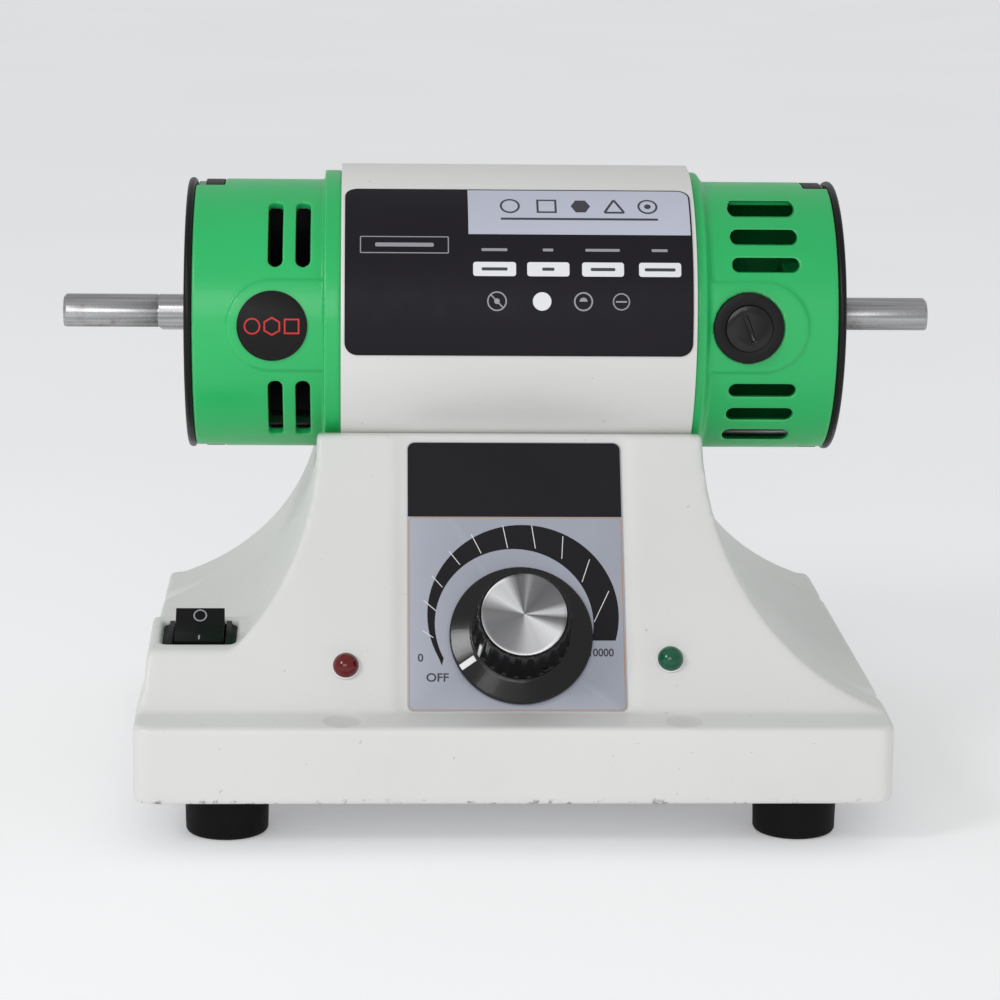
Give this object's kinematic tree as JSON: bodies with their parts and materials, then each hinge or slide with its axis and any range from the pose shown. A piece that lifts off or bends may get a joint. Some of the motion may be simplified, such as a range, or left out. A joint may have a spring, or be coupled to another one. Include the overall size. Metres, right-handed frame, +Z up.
{
  "type": "cabbing machine",
  "caption": "Bench spindle motor with a shaft at both ends, on a hollow cast stand with a sloping speed control panel, for cabochon shaping and polishing.",
  "frame": {"origin": "middle of the whole outline, from spindle tip to spindle tip and from the front of the stand to the cord gland, on the surface that the rubber feet rest on", "axes": "+X along the spindle towards its right end, the control panel faces -Y, +Z is up"},
  "size_m": [0.2916, 0.2214, 0.2053],
  "materials": {
    "cast_paint": "smooth sprayed paint, low gloss",
    "sleeve_paint": "smooth sprayed paint, low gloss",
    "green_plastic": "moulded, low gloss",
    "black_plastic": "fine moulded grain",
    "black_gloss": "glossy moulding",
    "black_metal": "black coated pressing, low gloss",
    "steel": "ground",
    "zinc_screw": "zinc plated",
    "rubber": "matt",
    "aluminium": "spun rings",
    "white_mark": "printed white",
    "red_lens": "tinted clear moulding",
    "green_lens": "tinted clear moulding",
    "label_silver": "printed foil, satin",
    "label_black": "printed foil, satin",
    "lamination": "stacked electrical steel",
    "copper": "enamelled copper wire",
    "carbon": "pressed carbon",
    "brass": "drawn wire",
    "circuit_board": "solder mask",
    "capacitor_case": "moulded case",
    "nylon": "natural nylon"
  },
  "bodies": {
    "root": {"base_casting": "cast_paint", "bottom_plate": "zinc_screw", "rubber_feet": "rubber", "foot_screws": "zinc_screw", "motor_sleeve": "sleeve_paint", "saddle_bolts": "zinc_screw", "left_shell": "green_plastic", "right_shell": "green_plastic", "left_end_plate": "black_metal", "right_end_plate": "black_metal", "plate_screw": "zinc_screw", "rim_blocks": "black_plastic", "shell_bolts": "zinc_screw", "stator_core": "lamination", "field_coils": "copper", "left_bearing_outer": "steel", "left_bearing_balls": "steel", "right_bearing_outer": "steel", "right_bearing_balls": "steel", "brush_holders": "black_plastic", "brush_caps": "black_plastic", "carbon_brushes": "carbon", "brush_springs": "brass", "left_badge": "black_gloss", "rating_label": "label_black", "control_label": "label_silver", "potentiometer": "zinc_screw", "potentiometer_nut": "zinc_screw", "red_lamp_lens": "red_lens", "green_lamp_lens": "green_lens", "lamp_holders": "nylon", "lamp_nuts": "zinc_screw", "switch_housing": "black_plastic", "speed_board": "circuit_board", "heat_sink": "aluminium", "filter_capacitor": "capacitor_case", "board_posts": "nylon", "cord_gland": "black_plastic", "motor_lead": "rubber"},
    "spindle_assembly": {"spindle": "steel", "armature_core": "lamination", "armature_windings": "copper", "commutator": "copper", "cooling_fan": "black_plastic", "left_bearing_inner": "steel", "right_bearing_inner": "steel"},
    "speed_knob": {"knob_body": "black_gloss", "knob_cap": "aluminium", "knob_pointer": "white_mark", "knob_set_screw": "zinc_screw", "potentiometer_shaft": "steel"},
    "rocker": {"rocker_key": "black_gloss"}
  },
  "joints": [
    {"name": "spindle_spin", "type": "hinge", "parent": "root", "child": "spindle_assembly", "pos_m": [0, -0.0032, 0.155], "axis": [1, 0, 0], "continuous": true},
    {"name": "knob_turn", "type": "hinge", "parent": "root", "child": "speed_knob", "pos_m": [0.00555, -0.08151, 0.06205], "axis": [0, 0.8442, -0.5361], "range_deg": [0, 225]},
    {"name": "rocker_tilt", "type": "hinge", "parent": "root", "child": "rocker", "pos_m": [-0.09765, -0.06901, 0.05775], "axis": [-1, 0, 0], "range_deg": [0, 24]}
  ]
}
